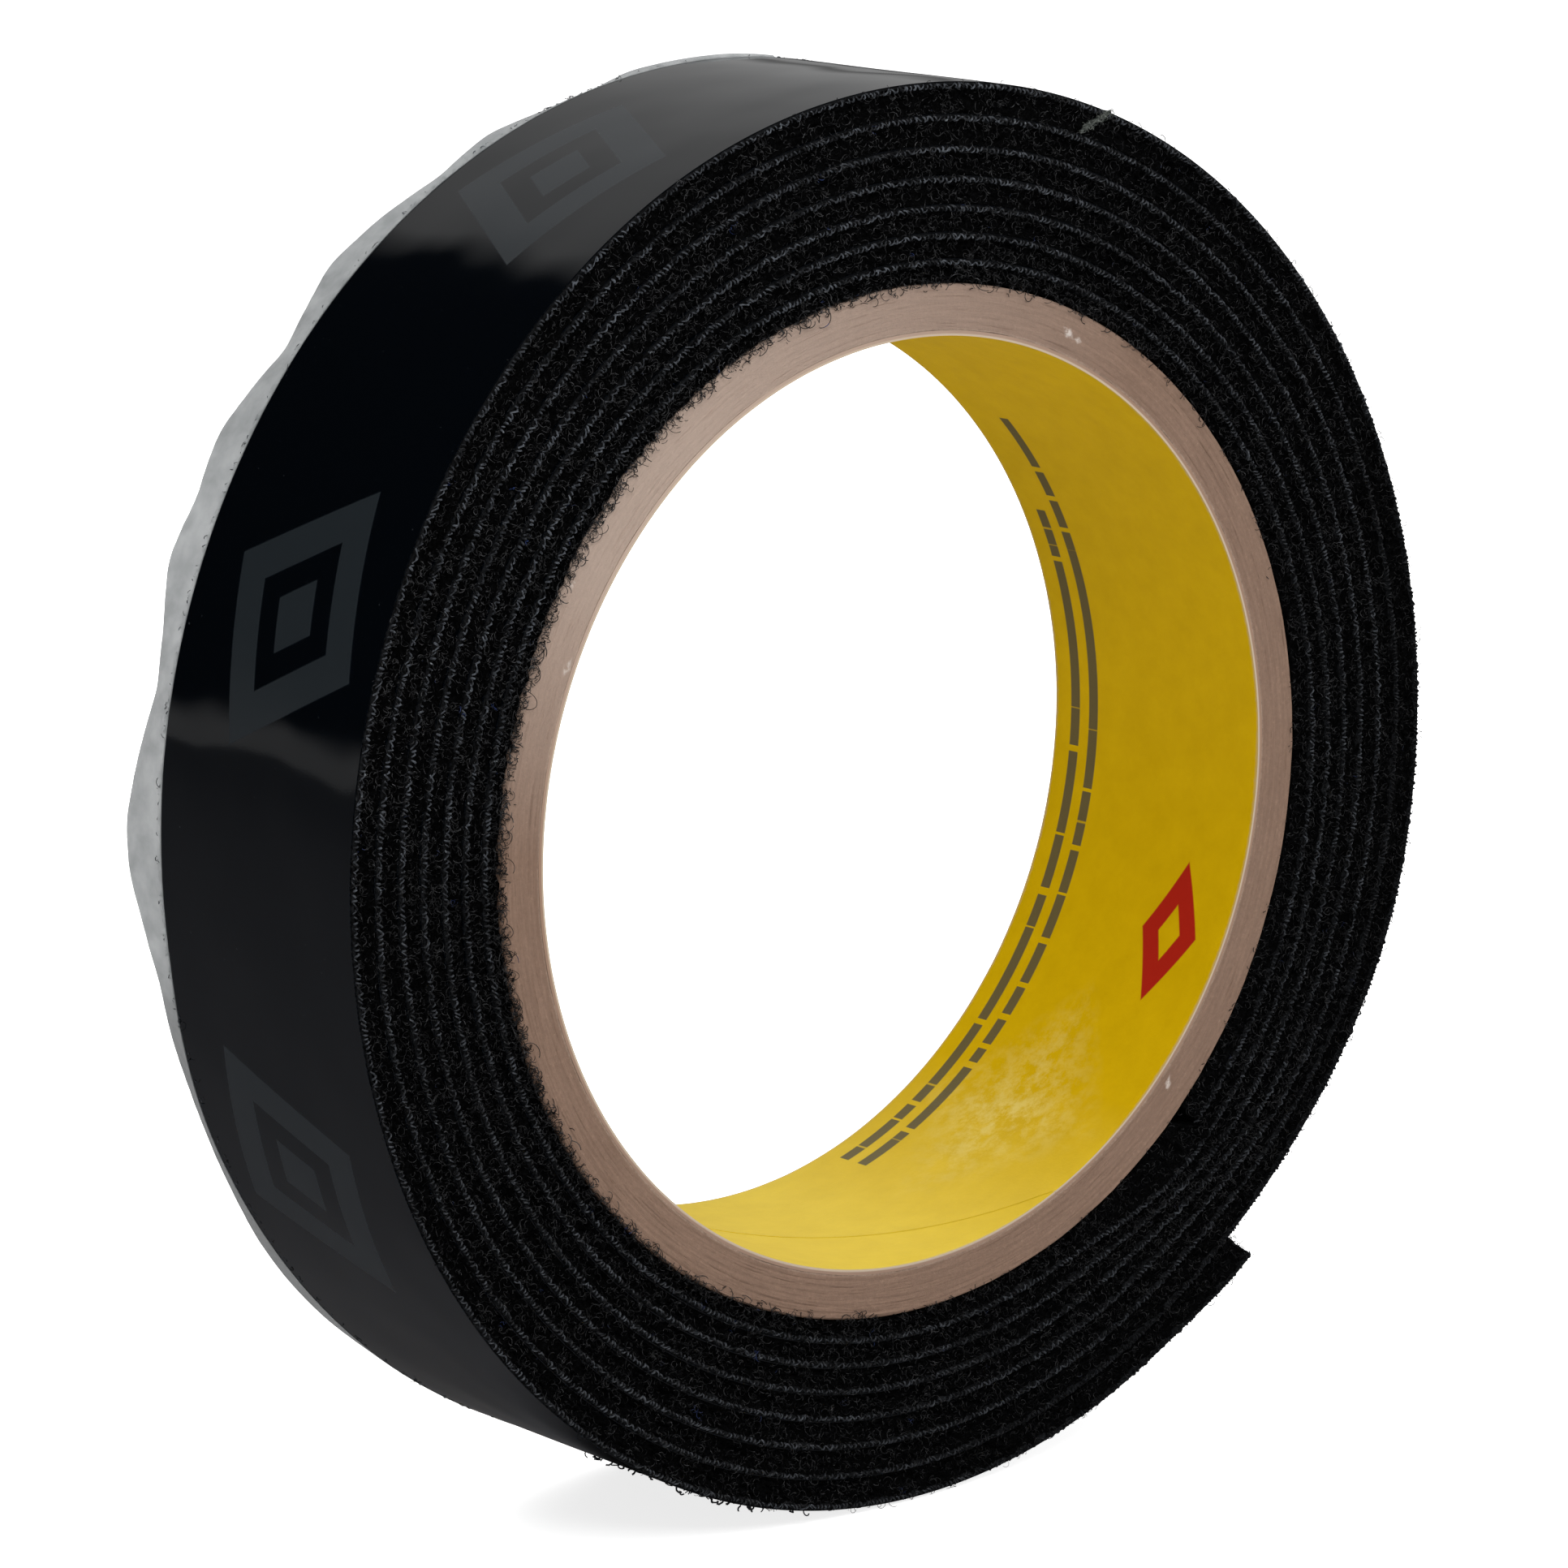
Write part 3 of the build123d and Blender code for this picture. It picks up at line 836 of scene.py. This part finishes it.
def curls(centres, size, thickness, flatten=0.6, steps=6):
    """Arcs of filament about centres: each is a short closed tube along part of a loose coil."""
    count = len(centres)
    first, second = basis(count)
    squeeze = np.array([1.0, flatten, 1.0])
    first = first * squeeze
    second = second * squeeze
    first /= np.linalg.norm(first, axis=1, keepdims=True)
    second -= np.sum(second * first, axis=1, keepdims=True) * first
    second /= np.linalg.norm(second, axis=1, keepdims=True)
    third = np.cross(first, second)
    radius = rng.uniform(*size, count)[:, None, None]
    sweep = rng.uniform(*CURL_SWEEP, count)[:, None]
    turn = np.linspace(-0.5, 0.5, steps)[None, :] * sweep
    rise = rng.uniform(-CURL_RISE, CURL_RISE, count)[:, None, None] * radius
    out = np.cos(turn)[..., None] * first[:, None] + np.sin(turn)[..., None] * second[:, None]
    path = centres[:, None] + radius * out + rise * (turn / 3)[..., None] * third[:, None]
    ring = 2 * pi * np.arange(FIBRE_SIDES) / FIBRE_SIDES
    thick = thickness * rng.uniform(*FIBRE_UNEVEN, count)[:, None, None, None]
    around = np.cos(ring)[:, None] * out[:, :, None] + np.sin(ring)[:, None] * third[:, None, None]
    points = (path[:, :, None] + thick * around).reshape(-1, 3)
    return points, tube_faces(count, steps, FIBRE_SIDES)


def side_centres(begins, ends, density, side):
    """Random points on one side of the wound pile: side is -1 at the front and 1 at the back."""
    middle = (outer_radius(begins) + inner_radius(ends)) / 2
    length = radians(ends - begins) * float(middle)
    count = int(length * PITCH * density)
    turns = rng.uniform(begins, ends, count)
    low = pile_foot(turns)
    over = np.where(rng.uniform(0, 1, count) < OVER_RIDGE, BACKING, NEAR_RIDGE)
    high = outer_radius(turns) - BACKING + over
    radii = low + (high - low) * rng.uniform(0, 1, count)
    return place(turns, radii, side * (HALF_WIDTH - LOOP_SUNK + rng.uniform(*LOOP_LIFT, count)))


def both_sides(begins, ends):
    """Random points on the two sides of the wound pile, denser at the front."""
    front = side_centres(begins, ends, FRONT_DENSITY, -1)
    return np.concatenate([front, side_centres(begins, ends, BACK_DENSITY, 1)])


def face_centres(begins, ends, density):
    """Random points on the pile's own face, which shows where the tape has left the roll."""
    area = radians(ends - begins) * float(pile_foot(np.array([begins]))[0]) * 2 * HALF_WIDTH
    count = int(area * density)
    turns = rng.uniform(begins, ends, count)
    radii = pile_foot(turns) + rng.uniform(*FACE_LIFT, count)
    return place(turns, radii, rng.uniform(-HALF_WIDTH, HALF_WIDTH, count))


def ridge_centres(begins, ends, density, side):
    """Random points along the backing's edge on one side, for the small knots that make its ridge."""
    middle = float(outer_radius((begins + ends) / 2))
    count = int(radians(ends - begins) * middle * density)
    turns = rng.uniform(begins, ends, count)
    radii = outer_radius(turns) - rng.uniform(0.10, 0.58, count)
    ys = side * (HALF_WIDTH + rng.uniform(0.10, 0.30, count))
    return place(turns, radii, ys)


def weft_turns(begins, ends, side, steps=6, sides=4):
    """Yarn turning round the backing's edge: a row of short arcs, closed tubes uneven in size and lean."""
    places = [begins]
    while places[-1] < ends:
        places.append(places[-1] + np.degrees(rng.uniform(*WEFT_SPACING) / outer_radius(places[-1])))
    turned = np.array(places[:-1])[:, None, None]
    shape = (len(turned), 1, 1)
    middle = outer_radius(turned) - (ADHESIVE_TOP + BACKING) / 2 + rng.normal(0.0, WEFT_WANDER, shape)
    bow = rng.uniform(*WEFT_BOW, shape)
    thick = rng.uniform(*WEFT_THICKNESS, shape)
    lean = rng.normal(0.0, WEFT_LEAN, shape)
    sunk = rng.uniform(*WEFT_SUNK, shape)
    arc = np.radians(np.linspace(-WEFT_ARC, WEFT_ARC, steps))[None, :, None]
    around = (2 * pi * np.arange(sides) / sides)[None, None, :]
    out = bow + thick * np.cos(around)
    radius = middle + out * np.sin(arc)
    y = side * (HALF_WIDTH - 0.02 + sunk + out * np.cos(arc))
    along = thick * np.sin(around) + lean * arc
    points = place(turned + np.degrees(along / radius), radius, y).reshape(-1, 3)
    return points, tube_faces(len(turned), steps, sides)


def rim_centres(count, side):
    """Points along the pile's inner edge, where loops hang over the core."""
    gathered = int(count * RIM_GATHERED)
    angle = np.concatenate([rng.normal(*RIM_SPREAD, gathered), rng.uniform(0, 360, count - gathered)])
    radii = CORE_RADIUS + rng.normal(0.0, 0.20, count)
    ys = side * (HALF_WIDTH + rng.uniform(0.0, 0.25, count))
    return place((angle - START_ANGLE) % 360, radii, ys)


# ---------------------------------------------------------------- the wound roll


def wound_roll(pile, fibre, weave, ridge, film):
    """Everything wound on the core that doesn't move."""
    body = new_piece("wound_pile", *pile_strip(0, ROLL_END), pile, "loop_pile")
    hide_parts("inner_length_loop_pile", "outer_length_loop_pile", "starter_adhesive")
    bands = new_piece("wound_backing", *backing_strip(0, ROLL_END), weave, "backing_weave")
    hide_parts("inner_length_backing", "outer_length_backing", "inner_length_adhesive",
                "outer_length_adhesive")
    cover = new_piece("wound_liner", *liner_strip(0, ROLL_END), film, "liner_film", sharp=60)
    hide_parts("release_liner")
    stretches = [(0, FIRST_WRAPS_END), (FIRST_WRAPS_END, ROLL_END)]
    for side, label, density in ((-1, "front", FRONT_DENSITY), (1, "back", BACK_DENSITY)):
        for part, (begins, ends) in enumerate(stretches, 1):
            centres = side_centres(begins, ends, density, side)
            new_piece(f"{label}_loops_{part}", *curls(centres, LOOP_SIZE, FIBRE), fibre, "loop_pile")
        new_piece(f"{label}_selvedge", *weft_turns(0, ROLL_END, side), ridge, "backing_weave")
        strays = curls(ridge_centres(0, ROLL_END, STRAY_DENSITY, side), LOOP_SIZE, FIBRE)
        new_piece(f"{label}_strays", *strays, fibre, "loop_pile")
        small = curls(rim_centres(RIM_LOOPS, side), RIM_SIZE, RIM_FIBRE, 0.8, 9)
        large = curls(rim_centres(LARGE_RIM_LOOPS, side), LARGE_RIM_SIZE, RIM_FIBRE, 0.7, 14)
        new_piece(f"{label}_rim_loops", *join([small, large]), fibre, "loop_pile")


def rear_skirt(clear):
    """The stretch of liner that stands past the rear edge in shallow scallops."""
    angle = turns_between(SKIRT_FROM, SKIRT_TO, 0.5)
    reach = np.interp(angle, [at for at, _ in SKIRT_REACH], [out for _, out in SKIRT_REACH])
    window = np.ones(5) / 5
    reach = np.convolve(np.pad(reach, 2, mode="edge"), window, mode="valid")
    reach += smooth_noise((len(angle), 1), 6, 0.03)[:, 0]
    turns = LAST_WRAP + (angle - START_ANGLE) % 360
    across = np.linspace(0, 1, 7)
    root = rear_drift(angle) - 0.25
    ys = HALF_WIDTH + root[:, None] + (reach - root)[:, None] * across
    droop = -SKIRT_DROOP * across[None, :] ** 2 * np.sin(np.radians(angle * SKIRT_WAVES))[:, None]
    top = (outer_radius(turns) + 0.03)[:, None] + droop
    radii = np.concatenate([top, top[:, ::-1] - SKIRT_THICKNESS], axis=1)
    points, faces = strip(turns, radii, np.concatenate([ys, ys[:, ::-1]], axis=1))
    new_piece("liner_rear_skirt", points, faces, clear, "liner_film", sharp=60)


def rear_selvedge(ridge):
    """Knots of the weft past the liner's rear edge, and a ragged line of lint under the film."""
    turns = rng.uniform(ROLL_END - 360, ROLL_END, SELVEDGE_KNOTS)
    radii = outer_radius(turns) - rng.uniform(0.10, 0.30, SELVEDGE_KNOTS)
    ys = HALF_WIDTH + rng.uniform(0.05, 0.30, SELVEDGE_KNOTS)
    knots = curls(place(turns, radii, ys), KNOT_SIZE, KNOT_FIBRE, 0.8)
    turns = LAST_WRAP + (rng.normal(*LINT_SPREAD, LINT) - START_ANGLE) % 360
    radii = outer_radius(turns) + rng.uniform(0.0, 0.3, LINT)
    lint = curls(place(turns, radii, rng.uniform(*LINT_SIDES, LINT)), LINT_SIZE, LINT_FIBRE, 0.9)
    new_piece("rear_selvedge", *join([knots, lint]), ridge, "backing_weave")


def splice():
    """A pale sliver of film between the two cut ends, proud of both sides and a little ragged."""
    wrap = float(outer_radius(SPLICE) - inner_radius(SPLICE))
    depth = np.linspace(-0.05, wrap - 0.15, SPLICE_STEPS)
    turns = SPLICE + SPLICE_SLANT * np.maximum(depth, 0)
    radius = outer_radius(turns) - depth
    down = np.linspace(0, 1, SPLICE_STEPS)
    parts = []
    for side in (-1, 1):
        ragged = smooth_noise((SPLICE_STEPS, 2), 2, 0.05)
        half = SPLICE_HALF + ragged[:, 0] - SPLICE_TAPER * down
        proud = side * (HALF_WIDTH + 0.04 + 0.08 * ragged[:, 1])
        root = np.full(SPLICE_STEPS, side * (HALF_WIDTH - 1.0))
        loop = [(turns - half, proud), (turns + half, proud), (turns + half, root), (turns - half, root)]
        grid = np.stack([place(turned, radius, y) for turned, y in loop], axis=1)
        parts.append((grid.reshape(-1, 3), loft_faces(SPLICE_STEPS, len(loop))))
        share = rng.uniform(0, 1, SPLICE_CURLS)
        at = np.interp(share, down, turns) + rng.normal(0, 0.22, SPLICE_CURLS)
        ys = side * (HALF_WIDTH + rng.uniform(-0.1, 0.25, SPLICE_CURLS))
        parts.append(curls(place(at, np.interp(share, down, radius), ys), SPLICE_CURL_SIZE, FIBRE))
    piece = new_piece("splice_sliver", *join(parts), splice_material(), "splice_film")
    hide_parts("splice_film")


# ---------------------------------------------------------------- the free end


def free_end(pile, fibre, weave, ridge, film):
    """The last stretch of tape, in pieces that straddle each joint, and the liner that peels off it."""
    bodies = ["roll"] + [f"tail_{number}" for number in range(1, TAIL_SEGMENTS + 1)]
    for number in range(1, TAIL_SEGMENTS + 1):
        label = f"tail_bend_{number}"
        begins = TAIL + (number - 1.5) * TAIL_SEGMENT_SPAN
        ends = begins + TAIL_SEGMENT_SPAN
        hinge = (begins + ends) / 2
        liner = liner_strip(begins, hinge if number == TAIL_SEGMENTS else ends)
        made = tail_layers(label, begins, ends, pile, fibre, weave, ridge)
        made.append(new_piece(f"{label}_liner", *liner, film, "liner_film", None, 60))
        for piece in made:
            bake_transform(piece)
        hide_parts(*[f"tail_{number}_{layer}" for layer in LAYERS])
        if number < TAIL_SEGMENTS:
            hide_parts(f"tail_{number}_liner")
    tip = TAIL + (TAIL_SEGMENTS - 0.5) * TAIL_SEGMENT_SPAN
    made = tail_layers("tail_tip", tip, END, pile, fibre, weave, ridge, END_SLANT)
    made.append(new_piece("tail_tip_cut", *cut_threads(), ridge, "backing_weave", None))
    for piece in made:
        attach(piece, bodies[-1])
    hinge = TAIL + (TAIL_SEGMENTS - 1) * TAIL_SEGMENT_SPAN
    flap = new_piece("liner_flap", *liner_strip(hinge, END + 0.1, 0.5), film, "liner_film", None, 60)
    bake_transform(flap)
    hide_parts(f"tail_{TAIL_SEGMENTS}_liner")


def cut_threads():
    """Short pale ends of yarn on the tape's cut end."""
    share = rng.uniform(0, 1, CUT_THREADS)
    foot = pile_foot(np.full(CUT_THREADS, END))
    radii = foot + (outer_radius(END) - ADHESIVE_TOP - foot) * share
    turns = END - END_SLANT * (1 - share) + rng.uniform(-0.15, 0.10, CUT_THREADS)
    depth = rng.uniform(-HALF_WIDTH, HALF_WIDTH, CUT_THREADS)
    return curls(place(turns, radii, depth), CUT_SIZE, FIBRE, 1.0)


def tail_layers(label, begins, ends, pile, fibre, weave, ridge, slant=0.0):
    """Pile body, backing and loose loops of one stretch of the free end."""
    loops = curls(both_sides(begins, ends), LOOP_SIZE, FIBRE)
    strays = np.concatenate([ridge_centres(begins, ends, STRAY_DENSITY, side) for side in (-1, 1)])
    face = curls(face_centres(begins, ends, FACE_DENSITY), FACE_SIZE, FIBRE, 1.0)
    loops = join([loops, curls(strays, LOOP_SIZE, FIBRE), face])
    selvedges = join([weft_turns(begins, ends, side) for side in (-1, 1)])
    return [
        new_piece(f"{label}_pile", *pile_strip(begins, ends, slant=slant), pile, "loop_pile", None),
        new_piece(f"{label}_backing", *backing_strip(begins, ends), weave, "backing_weave", None),
        new_piece(f"{label}_loops", *loops, fibre, "loop_pile", None),
        new_piece(f"{label}_selvedge", *selvedges, ridge, "backing_weave", None),
    ]


# ---------------------------------------------------------------- stage, light and camera


def camera():
    """The camera, at the fitted viewing angle and distance."""
    turn, rise = radians(CAMERA_AZIMUTH), radians(CAMERA_ELEVATION)
    back = Vector((sin(turn) * cos(rise), -cos(turn) * cos(rise), sin(rise)))
    data = bpy.data.cameras.new("camera")
    data.sensor_width = CAMERA_SENSOR
    data.lens = data.sensor_width * CAMERA_FOCAL / IMAGE_WIDTH
    data.clip_start = 0.01
    made = bpy.data.objects.new("camera", data)
    made.location = (Vector(CAMERA_TARGET) + back * CAMERA_DISTANCE) * MM
    made.rotation_euler = back.to_track_quat("Z", "Y").to_euler()
    bpy.context.collection.objects.link(made)
    bpy.context.scene.camera = made


def world():
    """A studio seen only in light and reflections: dim, with a bright ceiling. The camera sees white."""
    made = bpy.data.worlds.new("studio")
    made.use_nodes = True
    bpy.context.scene.world = made
    tree = made.node_tree
    where = tree.nodes.new("ShaderNodeTexCoord")
    split = tree.nodes.new("ShaderNodeSeparateXYZ")
    tree.links.new(where.outputs["Generated"], split.inputs[0])
    east, north, height = split.outputs
    ceiling = span(tree, height, 0.68, 0.78, 0.008, 1.05)
    front = span(tree, north, -0.15, -0.55, 0.0, 0.40)
    window = calc(tree, "MULTIPLY", span(tree, east, -0.02, 0.06), span(tree, north, 0.30, 0.50, 0.0, 0.38))
    window = calc(tree, "MULTIPLY", window, span(tree, height, 0.02, 0.10))
    horizon = calc(tree, "MULTIPLY", inside(tree, height, -0.02, 0.02, 0.03), 0.30)
    glow = ceiling
    for other in (front, window, horizon):
        glow = calc(tree, "MAXIMUM", glow, other)
    path = tree.nodes.new("ShaderNodeLightPath")
    seen = path.outputs["Is Camera Ray"]
    dimmed = span(tree, path.outputs["Is Glossy Ray"], 0.0, 1.0, 10.0, 0.45)
    unseen = calc(tree, "MULTIPLY", calc(tree, "SUBTRACT", 1.0, seen), calc(tree, "MINIMUM", glow, dimmed))
    background = tree.nodes["Background"]
    background.inputs["Color"].default_value = (1, 1, 1, 1)
    tree.links.new(calc(tree, "ADD", seen, unseen), background.inputs["Strength"])


def light(name, location, size, power, mirrored=True):
    """A soft square light aimed at the roll's centre. One that isn't mirrored leaves no highlight."""
    data = bpy.data.lights.new(name, "AREA")
    data.shape = "SQUARE"
    data.size = size * MM
    data.energy = power
    made = bpy.data.objects.new(name, data)
    made.location = Vector(location) * MM
    made.rotation_euler = Vector(location).to_track_quat("Z", "Y").to_euler()
    made.visible_glossy = mirrored
    bpy.context.collection.objects.link(made)


def floor():
    """A plain pale floor at the roll's lowest point, white to the camera and dim in reflections."""
    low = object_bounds()[0][2]
    size = 3.0
    corners = [(-size, -size, low), (size, -size, low), (size, size, low), (-size, size, low)]
    mesh = bpy.data.meshes.new("floor")
    mesh.from_pydata(corners, [], [(0, 1, 2, 3)])
    made = bpy.data.objects.new("floor", mesh)
    bpy.context.collection.objects.link(made)
    pale, reflected = (0.9, 0.9, 0.9), (0.105, 0.105, 0.112)
    material, tree, shader = new_material("floor", pale, 0.9)
    path = tree.nodes.new("ShaderNodeLightPath")
    feed(tree, shader.inputs["Base Color"], mix(tree, path.outputs["Is Glossy Ray"], pale, reflected))
    shader.inputs["Emission Color"].default_value = (1, 1, 1, 1)
    feed(tree, shader.inputs["Emission Strength"], calc(tree, "MULTIPLY", path.outputs["Is Camera Ray"], 0.8))
    mesh.materials.append(material)
    made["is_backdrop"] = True


bpy.context.scene.view_settings.view_transform = "Standard"
pile = pile_material()
fibre = fibre_material()
weave = backing_material()
ridge = ridge_material()
film = film_material()
core_board()
label_ply()
wound_roll(pile, fibre, weave, ridge, film)
rear_skirt(skirt_material())
rear_selvedge(ridge)
splice()
free_end(pile, fibre, weave, ridge, film)
floor()
world()
light("key", (-260, -420, 380), 220, 2.1)
light("fill", (420, -300, 160), 260, 0.85)
light("rear", (160, 460, 260), 260, 1.3, mirrored=False)
camera()
